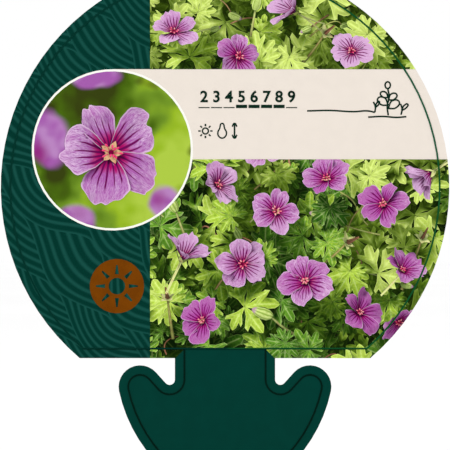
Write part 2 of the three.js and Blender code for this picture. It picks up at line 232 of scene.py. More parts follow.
class Finish:
    """One node material under way, with short ways to add its nodes."""

    def __init__(self, name, roughness=INK_ROUGHNESS, specular=INK_GLOSS):
        self.material = bpy.data.materials.new(name)
        self.material.use_nodes = True
        self.tree = self.material.node_tree
        self.shader = self.tree.nodes["Principled BSDF"]
        self.shader.inputs["Roughness"].default_value = roughness
        self.shader.inputs["Specular IOR Level"].default_value = specular

    def node(self, kind, **settings):
        """Adds a shader node with these settings."""
        made = self.tree.nodes.new("ShaderNode" + kind)
        for key, value in settings.items():
            setattr(made, key, value)
        return made

    def put(self, value, socket):
        """Links a value or an output to a socket, or sets the socket to a number, a vector or a colour."""
        if isinstance(value, str):
            value = linear(value)
        elif isinstance(value, Value):
            value = value.socket
        if isinstance(value, bpy.types.NodeSocket):
            self.tree.links.new(value, socket)
        elif isinstance(value, (int, float)) or len(value) == len(socket.default_value):
            socket.default_value = value
        else:
            socket.default_value = (*value, 1)

    def fill(self, node, *values):
        """Puts values into a node's sockets in their order, and gives its outputs."""
        for value, socket in zip(values, node.inputs):
            self.put(value, socket)
        return node.outputs

    def feed(self, node, **values):
        """Puts values into a node's sockets by their names, and gives its outputs."""
        for name, value in values.items():
            self.put(value, node.inputs[name])
        return node.outputs

    def math(self, operation, *values):
        """The result of a Math node."""
        return Value(self, self.fill(self.node("Math", operation=operation), *values)[0])

    def length(self, a, b):
        """Length of the vector (a, b)."""
        return self.math("SQRT", a * a + b * b)

    def vector(self, operation, a, b):
        """The vector that a Vector Math node makes of two."""
        return self.fill(self.node("VectorMath", operation=operation), a, b)[0]

    def scale(self, vector, factor):
        """A vector or a colour times one factor."""
        return self.feed(self.node("VectorMath", operation="SCALE"), Vector=vector, Scale=factor)[0]

    def split(self, vector):
        """The three parts of a vector."""
        return [Value(self, part) for part in self.fill(self.node("SeparateXYZ"), vector)]

    def join(self, *parts):
        """A vector from its parts."""
        return self.fill(self.node("CombineXYZ"), *parts)[0]

    def mix(self, share, a, b, blend="MIX"):
        """The colour a with a share of b."""
        made = self.node("Mix", data_type="RGBA", blend_type=blend, clamp_factor=True)
        for value, socket in ((share, 0), (a, 6), (b, 7)):
            self.put(value, made.inputs[socket])
        return made.outputs[2]

    def smooth(self, value, start, end, low=0.0, high=1.0):
        """A soft step from low at start to high at end."""
        made = self.node("MapRange", interpolation_type="SMOOTHSTEP")
        return Value(self, self.fill(made, value, start, end, low, high)[0])

    def ramp(self, value, stops):
        """A colour ramp through (position, colour) stops."""
        made = self.node("ValToRGB")
        while len(made.color_ramp.elements) < len(stops):
            made.color_ramp.elements.new(1)
        for element, (position, colour) in zip(made.color_ramp.elements, stops):
            element.position = position
            element.color = (*linear(colour), 1)
        return self.fill(made, value)[0]

    def noise(self, vector, scale, detail=2.0, roughness=0.5, output="Fac"):
        """A soft random pattern, by default as a number about 0.5."""
        made = self.node("TexNoise")
        made = self.feed(made, Vector=vector, Scale=scale, Detail=detail, Roughness=roughness)
        return Value(self, made[output])

    def patches(self, body, colour, scale, start, end, share, detail=2.0):
        """body with soft patches of another colour, up to this share, where a noise rises past start."""
        patch = self.smooth(self.noise(self.place(), scale, detail), start, end, 0, share)
        return self.mix(patch, body, colour)

    def place(self):
        """The object's own coordinates, in millimetres."""
        return self.scale(self.node("TexCoord").outputs["Object"], 1 / MM)

    def attribute(self, name):
        """A number that each vertex holds."""
        return Value(self, self.node("Attribute", attribute_name=name).outputs["Fac"])

    def form(self):
        """The place on a plant part's own form: u across and v along, both from 0 to 1."""
        return self.split(self.node("UVMap", uv_map="Form").outputs[0])[:2]

    def lit(self, colour, shadow_tint, low, high=1.34):
        """colour under the print's own light, which each vertex holds, with its shadows tinted."""
        light = self.attribute("light")
        tint = self.mix(self.smooth(light, 0.0, 0.75), shadow_tint, (1, 1, 1))
        return self.scale(self.mix(1.0, colour, tint, "MULTIPLY"), self.smooth(light, 0.0, 1.15, low, high))

    def bump(self, height, distance=0.00001, strength=0.2):
        """Lets the surface look as rough as this height says."""
        made = self.feed(self.node("Bump"), Height=height, Strength=strength, Distance=distance)
        self.put(made[0], self.shader.inputs["Normal"])

    def done(self, colour):
        """The finished material in this colour."""
        self.put(colour, self.shader.inputs["Base Color"])
        return self.material


def scaled(colour, factor):
    """A colour made brighter or darker by a factor."""
    return tuple(min(1, c * factor) for c in linear(colour))


def halfway(a, b):
    """The colour half way between two."""
    return tuple((p + q) / 2 for p, q in zip(linear(a), linear(b)))


def floor_finish():
    """A pale floor with the faintest clouds."""
    look = Finish("pale_floor", 0.9, 0.05)
    clouds = look.smooth(look.noise(look.place(), 0.004, 3), 0.3, 0.7)
    return look.done(look.mix(clouds, (0.985, 0.985, 0.985), (1.0, 1.0, 1.0)))


def ink_finish(name, colour, mottle):
    """An even ink, lighter and darker by the share mottle, with a fine grain."""
    look = Finish(name)
    at = look.place()
    density = look.noise(at, 0.35, 3) * 0.7 + look.noise(at, 9.0) * 0.3
    dark, pale = scaled(colour, 1 - mottle), scaled(colour, 1 + mottle)
    look.bump(look.noise(at, 14.0))
    return look.done(look.mix(look.smooth(density, 0.35, 0.65), dark, pale))


def sheet_finish(colours, sizes):
    """White plastic with a fine satin grain and faint flow lines from the extruder."""
    look = Finish("white_plastic", 0.42, 0.25)
    at = look.place()
    x, _, z = look.split(at)
    flow = look.noise(look.join(x * 1.6, 0.0, z * 0.05), 0.9, 3, 0.6)
    fleck = look.noise(at, 5.0, 3, 0.6)
    shade = look.mix(look.smooth(flow, 0.3, 0.7), scaled(colours.white, 0.965), colours.white)
    shade = look.mix(look.smooth(fleck, 0.58, 0.8, 0, 0.35), shade, scaled(colours.white, 0.88))
    look.bump(look.noise(at, 11.0, 3, 0.6), 0.00002, sizes.grain * 2)
    return look.done(shade)


def panel_finish(colours, sizes):
    """Dark green hatched tone in tone: chains of long lenses, each filled with arcs along its lower side."""
    look = Finish("panel_hatching")
    at = look.place()
    x, _, z = look.split(at)
    flat = look.join(x, z)
    sway = look.noise(flat, 0.045, 0.0, output="Color")
    pull = look.scale(look.vector("SUBTRACT", sway, (0.5, 0.5, 0.5)), 9.0)
    x, z, _ = look.split(look.vector("ADD", flat, pull))
    slant, half_lens, half_pitch = 0.707, sizes.lens_width / 2, sizes.hatch_pitch / 2
    run, aside = (x - z) * slant, (x + z) * (slant / half_lens)
    bulge = look.math("SINE", run * (2 * math.pi / sizes.lens_length)) * 0.5
    even = look.math("FLOORED_MODULO", aside - bulge, 2.0)
    odd = look.math("FLOORED_MODULO", aside - 1.0 + bulge, 2.0)
    across = look.math("MINIMUM", even, odd) * half_lens
    wave = look.math("PINGPONG", across + half_pitch, half_pitch)
    stripe = look.smooth(wave, sizes.hatch_pitch * 0.15, sizes.hatch_pitch * 0.47)
    green = colours.panel_green
    base = look.mix(look.smooth(look.noise(at, 6.0), 0.3, 0.7), scaled(green, 0.88), scaled(green, 1.08))
    look.bump(look.noise(at, 14.0))
    return look.done(look.mix(stripe, base, colours.panel_stripe))


def depths_finish(colours):
    """The dark and blurred depths behind the leaves of the pictures."""
    look = Finish("picture_depths")
    at = look.place()
    clouds = look.noise(at, 0.22, 3, 0.6) * 0.7 + look.noise(at, 0.9) * 0.3
    darkest, palest = scaled(colours.depths, 0.8), scaled(colours.leaf_dark, 0.7)
    shade = look.ramp(clouds, [(0.36, darkest), (0.5, colours.depths), (0.62, palest)])
    return look.done(look.patches(shade, "3a2416", 0.3, 0.60, 0.72, 0.6))


# Blooms out of focus in the inset: centre, half width and half height, place of the deep heart as a share of
# these, and how strong the heart is.
BLURRED_BLOOMS = [
    ((-27.6, 62.0), (6.0, 2.9), (1.6, 0.9), 0.35),
    ((-37.0, 48.6), (4.6, 6.2), (-0.5, -0.55), 0.9),
    ((-31.0, 31.8), (4.0, 3.6), (0.1, 0.4), 0.3),
    ((-12.6, 35.2), (3.6, 4.0), (-0.35, 0.2), 0.55),
]


def inset_ground_finish():
    """The blurred garden behind the inset's large bloom, with a few blooms out of focus."""
    look = Finish("inset_blur")
    at = look.place()
    x, _, z = look.split(at)
    right, up = (x - INSET.x) / INSET_RADIUS, (z - INSET.z) / INSET_RADIUS
    soft, fine = look.noise(at, 0.1, 2, 0.4), look.noise(at, 0.22, 1, 0.4)
    garden_light = right * 0.34 - up * 0.22 + (soft * 1.25 + fine * 0.5) - 0.27
    greens = [(0.26, "36400f"), (0.44, "47660f"), (0.60, "6f9226"), (0.76, "96b826"), (0.96, "adca45")]
    shade = look.patches(look.ramp(garden_light, greens), "3c3a12", 0.16, 0.62, 0.75, 0.7, detail=1)
    lilac = look.mix(look.smooth(fine, 0.4, 0.62), "a35cab", "b884bf")
    ragged = (fine - 0.5) * 0.5
    for (centre_x, centre_z), (wide, high), (heart_x, heart_z), strength in BLURRED_BLOOMS:
        across, along = (x - centre_x) / wide, (z - centre_z) / high
        from_heart = look.length(across - heart_x, along - heart_z)
        bloom = look.mix(look.smooth(from_heart, 0.1, 0.75, strength, 0), lilac, "8e1c78")
        shade = look.mix(look.smooth(look.length(across, along) + ragged, 0.72, 1.12, 1, 0), shade, bloom)
    return look.done(shade)


def line_finish():
    """The border line: near black on the tab, dark on the panel, a livelier green over pictures and band."""
    look = Finish("border_ink")
    x, _, z = look.split(look.place())
    edge = 0.1
    above = look.smooth(z, BAND_LOW.z - edge, BAND_LOW.z + edge)
    below = look.smooth(z, BAND_HIGH.z - edge, BAND_HIGH.z + edge, 1, 0)
    right = look.smooth(x, 0, 1)
    off_tab = look.smooth(z, TAB_HIGH - 0.12, TAB_HIGH)
    dark = look.mix(off_tab, "001c14", look.mix(right, "01332a", "115026"))
    shade = look.mix(above * below * right, dark, "19563a")
    return look.done(look.patches(shade, "0a2a20", 8.0, 0.3, 0.7, 0.15))


def leaf_finish(colours):
    """Leaf green from shade to sun, with pale palmate veins and pale rims."""
    look = Finish("picture_leaf")
    u, v = look.form()
    side = abs(u * 2 - 1)
    fleck = look.noise(look.place(), 2.1, 3, 0.65)
    sunny = look.attribute("tone") + (look.attribute("light") - 0.75) * 0.35 + (fleck - 0.5) * 0.8
    greens = [(0.0, colours.leaf_dark), (0.40, colours.leaf_middle), (0.72, colours.leaf_bright)]
    body = look.ramp(sunny, greens + [(1.0, "bcd066")])
    pale = look.mix(0.55, body, "dce8a4")
    rib = look.smooth(side, 0.05, 0.17, 0.5, 0)
    branch = look.smooth(abs(side - (v - 0.20) * 4.2), 0.08, 0.25, 0.32, 0)
    rim = look.smooth(side, 0.84, 1.0, 0, 0.5)
    veins = look.math("MAXIMUM", rib, look.math("MAXIMUM", branch, rim))
    valley = look.smooth(side, 0.12, 0.5) * look.smooth(side, 0.95, 0.6, 0, 0.5)
    body = look.mix(valley * look.smooth(v, 0.0, 0.25), body, look.scale(body, 0.6))
    look.bump(fleck)
    return look.done(look.lit(look.mix(veins, body, pale), (0.52, 0.8, 0.16), 0.05, 1.47))


def stalk_finish():
    """Stems: each of its own tone from reddish brown to yellow green, blotched, darker along both sides."""
    look = Finish("picture_stalk")
    u, _ = look.form()
    tones = [(0.0, "8a5a40"), (0.35, "b58a68"), (0.6, "a0ac58"), (1.0, "c9d884")]
    body = look.patches(look.ramp(look.attribute("tone"), tones), "8d5a44", 1.2, 0.35, 0.7, 0.5)
    rounding = look.smooth(abs(u * 2 - 1), 0.1, 1.0, 1.1, 0.45)
    return look.done(look.lit(look.scale(body, rounding), (0.7, 0.8, 0.7), 0.3))


def calyx_finish():
    """Sepals and the stalk behind a bloom: yellow green, flushed with brown."""
    look = Finish("picture_calyx")
    body = look.mix(look.smooth(look.attribute("tone"), 0.2, 0.8), "8f9a48", "d2d68e")
    body = look.patches(body, "b87a62", 1.5, 0.50, 0.75, 0.6)
    return look.done(look.lit(body, (0.6, 0.75, 0.6), 0.35, 1.3))


def bud_finish():
    """Closed buds: pale yellow green with ribs and a lilac tip."""
    look = Finish("picture_bud")
    u, v = look.form()
    body = look.mix(look.smooth(look.math("PINGPONG", u, 0.06), 0.0, 0.05), "7f9c3a", "c4d680")
    body = look.mix(look.smooth(v, 0.74, 0.92, 0, 0.8), body, "b478b4")
    body = look.patches(body, "94a34c", 2.0, 0.45, 0.7, 0.4)
    return look.done(look.lit(body, (0.6, 0.75, 0.6), 0.3))


def petal_finish(name, inks, vein_width, base, rim):
    """Lilac petals: crimson up to base, deep inner part, dark veins that fan out, and a pale rim."""
    outer, deep, root, dark, pale = inks
    look = Finish(name)
    tone = look.attribute("tone")
    u, v = look.form()
    across = u * 2 - 1
    side = abs(across)
    stretched = look.join(across * 5.0, v * 1.6, tone * 37.0)
    streak = look.noise(stretched, 2.4, 3, 0.6)
    drift = look.noise(stretched, 0.8, 1)
    crinkle = look.noise(stretched, 7.0, 3, 0.7)
    reach = v + (streak - 0.5) * 0.22
    inner = [(0.12, scaled(root, 0.75)), (0.21, root), (0.30, halfway(root, deep)), (0.42, deep)]
    body = look.ramp(reach, inner + [(0.62, outer), (1.0, halfway(outer, pale))])

    from_vein = look.math("PINGPONG", across + (drift - 0.5) * 0.16, 0.165) * (v * 0.42 + 0.04)
    vein = look.smooth(from_vein / ((1.4 - v) * vein_width), 0.45, 1.0, 1, 0)
    vein_end = 0.92 - (side * 0.28 + drift * 0.16)
    edge = look.math("MINIMUM", (1 - side) * 0.3, 1 - v)
    for share, colour in (
        (look.smooth(streak, 0.35, 0.70, 0, 0.24), pale),
        (look.smooth(crinkle, 0.48, 0.64) * look.smooth(v, 0.2, 0.8, 0.1, 0.75), pale),
        (look.smooth(drift, 0.40, 0.65, 0, 0.40), deep),
        (look.smooth(crinkle, 0.48, 0.38) * look.smooth(v, 0.3, 0.7, 0.2, 0.85), scaled(deep, 0.9)),
        (look.smooth(tone, 0.5, 1.0, 0, 0.45), pale),
        (look.smooth(tone, 0.55, 0.1, 0, 0.6), deep),
        (look.smooth(reach, base - 0.20, base, 0.94, 0), root),
        (vein * look.smooth(v - vein_end, -0.16, 0.0, 1.0, 0), dark),
        (look.smooth(edge, 0.008, 0.03, rim, 0), pale),
    ):
        body = look.mix(share, body, colour)
    look.bump(streak)
    return look.done(look.lit(body, (0.70, 0.42, 0.70), 0.19, 1.10))


def heart_finish(name, high, low):
    """The small parts in a bloom's heart: two colours that melt into each other, high where the tone is."""
    look = Finish(name)
    share = look.noise(look.place(), 2.2) + (look.attribute("tone") - 0.5)
    body = look.mix(look.smooth(share, 0.35, 0.65), low, high)
    return look.done(look.lit(body, (0.8, 0.6, 0.6), 0.5, 1.15))


FINISHES = {}


def finish(kind):
    """The finished material of one kind, made once."""
    if kind in FINISHES:
        return FINISHES[kind]
    colours, sizes = bpy.context.scene.label_colours, bpy.context.scene.label_sizes
    base, vein, rim = colours.petal_base, colours.petal_vein, colours.petal_rim
    small = (colours.petal, colours.petal_deep, base, vein, rim)
    large = (colours.inset_petal, colours.inset_petal_deep, "aa0060", "6a0a54", rim)
    makers = {
        "floor": floor_finish,
        "sheet": lambda: sheet_finish(colours, sizes),
        "tab": lambda: ink_finish("tab_ink", colours.tab_green, 0.04),
        "panel": lambda: panel_finish(colours, sizes),
        "cream": lambda: ink_finish("cream_ink", colours.cream, 0.012),
        "ring": lambda: ink_finish("ring_ink", "fdfcf4", 0.02),
        "copper": lambda: ink_finish("copper_ink", colours.copper, 0.1),
        "depths": lambda: depths_finish(colours),
        "inset": inset_ground_finish,
        "line": line_finish,
        "writing": lambda: ink_finish("writing_ink", colours.line_green, 0.15),
        "leaf": lambda: leaf_finish(colours),
        "stalk": stalk_finish,
        "bud": bud_finish,
        "calyx": calyx_finish,
        "petal": lambda: petal_finish("picture_petal", small, 0.017, 0.34, 0.6),
        "large_petal": lambda: petal_finish("inset_petal", large, 0.0135, 0.44, 0.7),
        "star": lambda: heart_finish("heart_star", "dcae84", "a01a4a"),
        "anther": lambda: heart_finish("heart_anther", "ffb0b4", "f03c78"),
        "heart": lambda: heart_finish("heart_crimson", "b0004c", "780038"),
    }
    FINISHES[kind] = makers[kind]()
    return FINISHES[kind]


# ---------------------------------------------------------------- shaping


def mesh_of(bm, name, *kinds):
    """Stores a bmesh as a mesh with its finishes, and frees it."""
    mesh = bpy.data.meshes.new(name)
    bm.to_mesh(mesh)
    bm.free()
    for kind in kinds:
        mesh.materials.append(finish(kind))
    return mesh


class Growth:
    """Plant parts that grow together in one bmesh, in millimetres, the viewer towards -Y."""

    def __init__(self, name, kinds):
        self.name = name
        self.kinds = kinds
        self.bm = bmesh.new()
        self.form = self.bm.loops.layers.uv.new("Form")
        self.light = self.bm.verts.layers.float.new("light")
        self.tone = self.bm.verts.layers.float.new("tone")

    def blade(self, columns, rows, shape, kind, tone=0.5, place=None):
        """Adds a grid whose points shape(u, v) gives, u from -1 to 1 across and v from 0 to 1 along."""
        verts = bmesh.ops.create_grid(self.bm, x_segments=columns, y_segments=rows, size=1)["verts"]
        spots = {}
        for vert in verts:
            u, v = vert.co.x, (vert.co.y + 1) / 2
            vert.co = shape(u, v)
            spots[vert] = ((u + 1) / 2, v)
        self.dress(verts, kind, tone, spots)
        if place is not None:
            self.turn(verts, place)

    def dress(self, verts, kind, tone, spots=None):
        """Gives these vertices their tone, and the faces between them their material and form map."""
        self.tint(verts, tone)
        for face in {face for vert in verts for face in vert.link_faces}:
            face.material_index = self.kinds.index(kind)
            face.smooth = True
            for loop in face.loops:
                loop[self.form].uv = spots[loop.vert] if spots else (0.5, 0.5)

    def tint(self, verts, tone):
        """Gives vertices their tone."""
        for vert in verts:
            vert[self.tone] = tone

    def turn(self, verts, matrix):
        """Turns, scales and moves vertices."""
        bmesh.ops.transform(self.bm, matrix=matrix, verts=verts)

    def copy(self, mesh):
        """Adds a stored form and returns its new vertices."""
        count = len(self.bm.verts)
        self.bm.from_mesh(mesh)
        self.bm.verts.ensure_lookup_table()
        return self.bm.verts[count:]


def turned(degrees):
    """A turn about the Z axis."""
    return Matrix.Rotation(math.radians(degrees), 4, "Z")


def fifth(i, dice, sway=8, first=0):
    """The turn of part i of five round a bloom, up to sway degrees off at random."""
    return turned(first + i * 72 + dice.uniform(-sway, sway))


def facing(normal, spin):
    """A rotation that turns +Z to normal after a spin about it, with +Y going up as far as it can."""
    return normal.to_track_quat("Z", "Y").to_matrix().to_4x4() @ Matrix.Rotation(spin, 4, "Z")


def leaning(tilt, lean):
    """The way a face looks that tilts away from the viewer towards the side that lean gives."""
    return Vector((math.sin(tilt) * math.cos(lean), -math.cos(tilt), math.sin(tilt) * math.sin(lean)))


def pointed(v, start=0.25):
    """Share of the full width along a part that begins partly open, swells and ends in a point."""
    return math.sin(math.pi * min(1, start + (1 - start) * v)) if v < 1 else 0.0


# Rows of a leaf's lobe: how far along its edge lies, and its half width there. It widens into two side
# fingers, goes back in between them and the middle one, and ends in a blunt tip. Then how far along each
# row's middle lies, and how long the lobes are, from the middle one to the outermost.
LOBE_ROWS = [(0.0, 0.02), (0.34, 0.13), (0.66, 0.38), (0.79, 0.37), (0.66, 0.17), (0.88, 0.15), (0.98, 0.05)]
LOBE_SPINE = [0.0, 0.30, 0.42, 0.46, 0.55, 0.86, 1.0]
LOBE_LENGTHS = (1.0, 0.95, 0.78, 0.6)


def leaf_form(name, kinds, lobes, step, seed):
    """One leaf of radius 1 in the XY plane, facing +Z: lobes with three fingers, folded along their ribs."""
    growth = Growth(name, kinds)
    dice = random.Random(seed)
    middle, steps = (lobes - 1) / 2, len(LOBE_ROWS) - 1
    for i in range(lobes):
        length = LOBE_LENGTHS[round(abs(i - middle))] * dice.uniform(0.92, 1.06)
        droop, fold, skew = dice.uniform(0.05, 0.28), dice.uniform(0.25, 0.55), dice.uniform(-0.06, 0.06)

        def lobe(u, v):
            row = round(v * steps)
            along, wide = LOBE_ROWS[row]
            y = LOBE_SPINE[row] + (along - LOBE_SPINE[row]) * abs(u)
            wide *= 1.06 if u * skew > 0 else 0.94
            z = fold * wide * abs(u) - droop * y * y + 0.10 * math.sin(3.1 * y)
            return Vector(((u * wide + skew * y * y) * length, y * length, z * length))

        growth.blade(2, steps, lobe, "leaf", place=turned((i - middle) * step + dice.uniform(-5, 5)))
    return mesh_of(growth.bm, name)


def leaf_tone(x, z, front, seed):
    """How sunny a leaf is: in patches, more above, at the right and in front, less at the lower left."""
    sunny = noise.noise(Vector((x * 0.075, z * 0.075, seed * 1.7)))
    tone = 0.58 + 0.36 * (z > BAND_HIGH.z) + 0.25 * (x > 36) + 0.7 * sunny + 0.20 * (front - 0.5)
    return tone - 0.24 * (x < 14 and z < 26)


def over_bloom(x, z):
    """Whether a place lies over the heart of a bloom."""
    return any(math.hypot(x - bloom[1], z - bloom[2]) < 0.45 * bloom[3] for bloom in BLOOMS)


def grow_leaves(growth, forms, area, sizes, seed):
    """Fills an area (x0, z0, x1, z1) with layers of leaves, the front ones sparser and off the blooms."""
    dice = random.Random(seed)
    x0, z0, x1, z1 = area
    for layer in range(sizes.leaf_layers):
        front = layer / max(1, sizes.leaf_layers - 1)
        pitch = sizes.leaf_pitch * (1.0 + 0.35 * front)
        rows, columns = math.ceil((z1 - z0) / pitch) + 1, math.ceil((x1 - x0) / pitch) + 1
        for i, k in itertools.product(range(rows), range(columns)):
            x = x0 + (k + 0.5 * (i % 2)) * pitch + dice.uniform(-0.42, 0.42) * pitch
            z = z0 + i * pitch + dice.uniform(-0.42, 0.42) * pitch
            tilt, lean = dice.uniform(0.05, 0.95 - 0.3 * front), dice.uniform(0, 2 * math.pi)
            spin, size = dice.uniform(-math.pi, math.pi), sizes.leaf_size * dice.uniform(0.62, 1.2)
            depth = 3 + 19 * front + dice.uniform(-4, 4)
            tone = leaf_tone(x, z, front, seed) + dice.uniform(-0.26, 0.26)
            if dice.random() < 0.06 + 0.26 * front:
                continue
            if front > 0.5 and over_bloom(x, z):
                continue
            verts = growth.copy(dice.choice(forms))
            growth.tint(verts, max(0.0, min(1.0, tone)))
            place = Matrix.Translation((x, -depth, z)) @ facing(leaning(tilt, lean), spin)
            growth.turn(verts, place @ Matrix.Scale(size, 4))


def grow_stalk(growth, start, bend, end, width, tone):
    """A thin stem from start over bend to end, as a narrow blade that faces the viewer."""

    def stem(u, v):
        low, high = start.lerp(bend, v), bend.lerp(end, v)
        aside = (high - low).normalized().cross(Vector((0, 1, 0)))
        aside = aside.normalized() if aside.length > 0.01 else Vector((1, 0, 0))
        return low.lerp(high, v) + aside * u * width * (0.6 - 0.25 * v)

    growth.blade(2, 9, stem, "stalk", tone)


def grow_bud(growth, tip, run, size, tone):
    """A closed bud that points along run."""
    verts = bmesh.ops.create_uvsphere(growth.bm, u_segments=8, v_segments=6, radius=1)["verts"]
    spots = {}
    for vert in verts:
        v = (vert.co.z + 1) / 2
        spots[vert] = (math.atan2(vert.co.y, vert.co.x) / (2 * math.pi) + 0.5, v)
        taper = 0.62 * (1 - 0.45 * v * v)
        vert.co.x *= taper
        vert.co.y *= taper
    growth.dress(verts, "bud", tone, spots)
    growth.turn(verts, Matrix.Translation(tip) @ facing(run, 0) @ Matrix.Scale(size, 4))


def grow_stems(growth, area, dice, count):
    """Thin stems that rise before the leaves at random, every other one with a bud."""
    x0, z0, x1, z1 = area
    for i in range(count):
        x, z = dice.uniform(x0, x1), dice.uniform(z0, z1)
        run = Vector((dice.uniform(-1, 1), dice.uniform(-0.05, 0.5), dice.uniform(-0.3, 1))).normalized()
        length, depth = dice.uniform(5, 14), dice.uniform(*STEM_DEPTHS)
        start = Vector((x, -depth, z))
        end = start + run * length
        bend = start.lerp(end, 0.5) + Vector((dice.uniform(-4, 4), -1, dice.uniform(-1, 5)))
        tone, width = dice.random(), dice.uniform(0.24, 0.42)
        size = dice.uniform(1.1, 2.0)
        if abs(run.z) < 0.2:
            continue
        grow_stalk(growth, start, bend, end, width, tone)
        if i % 2:
            grow_bud(growth, end + run * 0.8, run, size, tone)


def grow_spent(growth, tip, run, size, seed):
    """A spent flower head: five pointed sepals that stand open round a reddish beak."""
    dice = random.Random(seed)
    place = Matrix.Translation(tip) @ facing((run + Vector((0, -0.8, 0))).normalized(), 0)
    place = place @ Matrix.Scale(size, 4)
    for i in range(5):
        spread = dice.uniform(0.5, 0.9)

        def sepal(u, v):
            half = 0.36 * pointed(v)
            return Vector((u * half, 1.4 * spread * v, 0.8 * v * (1.4 - spread) + 0.1 * abs(u)))

        growth.blade(2, 4, sepal, "calyx", dice.uniform(0.6, 1.0), place @ fifth(i, dice, 12))

    def beak(u, v):
        return Vector((u * (0.30 - 0.20 * v), 0, 0.1 + 2.0 * v))

    for degrees in (0, 90):
        growth.blade(2, 4, beak, "stalk", 0.15, place @ turned(degrees))


def grow_head(growth, x, z, way, length, size, spent):
    """A spent head or a bud before the leaves, on a stalk that comes up from between them."""
    tip = Vector((x, -HEAD_DEPTH, z))
    way = math.radians(way)
    run = Vector((math.cos(way), -0.1, math.sin(way))).normalized()
    start = tip - run * length + Vector((0, 9, -0.3 * length))
    bend = start.lerp(tip, 0.6) + Vector((0, -3, -0.12 * length))
    grow_stalk(growth, start, bend, tip, 0.6, 0.85 - 0.3 * spent)
    if spent:
        grow_spent(growth, tip, run, size, 900 + round(x))
    else:
        grow_bud(growth, tip + run * size * 0.7, run, size, 0.6)


# Half width of a petal along its length, for a petal of length 1.
PETAL_WIDTHS = [(0, 0.05), (0.15, 0.16), (0.3, 0.27), (0.5, 0.37), (0.6, 0.40)]
PETAL_WIDTHS += [(0.7, 0.41), (0.8, 0.395), (0.9, 0.355), (1, 0.285)]


def along_table(table, t):
    """Reads a table of (place, value) pairs at t, straight between its places."""
    for (a, p), (b, q) in zip(table, table[1:]):
        if t <= b:
            return p + (q - p) * (t - a) / (b - a)
    return table[-1][1]


def grow_bloom(growth, at, radius, turn, squeeze, lean, seed, large=False):
    """An open bloom of five petals round a crimson heart with a star of sepals and a ring of anthers."""
    dice = random.Random(seed)
    kind, columns, rows, crumple = ("large_petal", 16, 20, 0.10) if large else ("petal", 6, 8, 0.20)
    normal = leaning(math.acos(squeeze), math.radians(lean))
    place = Matrix.Translation(at) @ facing(normal, math.radians(turn)) @ Matrix.Scale(radius, 4)
    cup = 0.16 + 1.3 * (1 - squeeze)
    paleness = 0.5 if large else dice.uniform(0.0, 0.9) + 0.3 * (at.z > BAND_HIGH.z)
    for i in range(5):
        length, wide = dice.uniform(0.86, 1.06), dice.uniform(0.90, 1.16) * (0.98 if large else 1)
        twist, notch, shift = dice.uniform(-0.34, 0.34), dice.uniform(0.02, 0.10), dice.uniform(0, 90)
        arch, skew = dice.uniform(0.10, 0.34), dice.uniform(-0.07, 0.07)

        def petal(u, v):
            half = along_table(PETAL_WIDTHS, v) * wide
            wave = noise.noise(Vector((u * 1.9 + shift, 0, 7.7)))
            top = 1 - 0.13 * u * u - notch * math.exp(-((u / 0.22) ** 2)) + 0.10 * wave + skew * u
            side = 1 + 0.20 * noise.noise(Vector((u * 1.2 + shift, v * 4.4, 3.3))) * v
            x, y = u * half * side, v * (1 + (top - 1) * v * v)
            ripple = noise.noise(Vector((x * 4 + shift, y * 3, shift)))
            z = cup * y - arch * y * y + 0.25 * abs(u) * half + twist * x + crumple * ripple * y
            return Vector((x * length, y * length, z))

        tone = min(1, max(0, paleness + dice.uniform(-0.2, 0.2)))
        growth.blade(columns, rows, petal, kind, tone, place @ fifth(i, dice))
    grow_heart(growth, place, dice, large)
    if squeeze < 0.7:
        grow_calyx(growth, place, cup, dice)


def grow_calyx(growth, place, cup, dice):
    """Sepals that hug the outside of a bloom seen from the side, and its stalk."""

    def sepal(u, v):
        half = 0.10 * pointed(v, 0.3)
        return Vector((u * half, 0.03 + 0.34 * v, cup * 0.40 * v - 0.10 - 0.04 * abs(u)))

    def stalk(u, v):
        return Vector((u * 0.05, 0.25 * v * v, -0.06 - 1.5 * v))

    for i in range(5):
        growth.blade(2, 4, sepal, "calyx", dice.random(), place @ fifth(i, dice))
    for degrees in (0, 90):
        growth.blade(2, 5, stalk, "calyx", 0.7, place @ turned(degrees))


def grow_heart(growth, place, dice, large):
    """The heart of a bloom: star, anthers, in the large one on filaments, and a crimson middle."""
    tone = dice.choice((0.1, 0.25, 0.5))
    lobe_half, lobe_length, star_tone = (0.066, 0.19, 0.7) if large else (0.058, 0.12, tone)
    count, widest, bead, bead_tone = (10, 0.20, 0.022, 0.3) if large else (7, 0.18, 0.034, 0.5)

    def lobe(u, v):
        half = lobe_half * pointed(v)
        return Vector((u * half, 0.03 + lobe_length * v, 0.02 + 0.05 * v))

    lifted = place @ Matrix.Translation((0, 0, 0.07))
    for i in range(5):
        growth.blade(2, 4, lobe, "star", star_tone, lifted @ fifth(i, dice, first=36))
    for i in range(count):
        angle = i * 2 * math.pi / count + dice.uniform(-0.25, 0.25)
        reach = dice.uniform(0.07, widest)
        tip = Vector((math.cos(angle) * reach, math.sin(angle) * reach, 0.16 + dice.uniform(0, 0.05)))
        verts = bmesh.ops.create_icosphere(growth.bm, subdivisions=1, radius=bead)["verts"]
        growth.dress(verts, "anther", bead_tone)
        at_tip = place @ Matrix.Translation(tip) @ Matrix.Rotation(angle, 4, "Z")
        growth.turn(verts, at_tip @ Matrix.Diagonal((1.8, 1, 1, 1)))

        def filament(u, v):
            aside = Vector((-math.sin(angle), math.cos(angle), 0))
            return tip * v + aside * u * 0.008 + Vector((0, 0, 0.05 * math.sin(math.pi * v)))

        if large:
            growth.blade(2, 3, filament, "anther", 0.0, place)
    verts = bmesh.ops.create_icosphere(growth.bm, subdivisions=2, radius=0.05)["verts"]
    growth.dress(verts, "heart", 0.0)
    growth.turn(verts, place @ Matrix.Translation((0, 0, 0.10)))


# ---------------------------------------------------------------- light of the print

GOLDEN_ANGLE = 2.39996
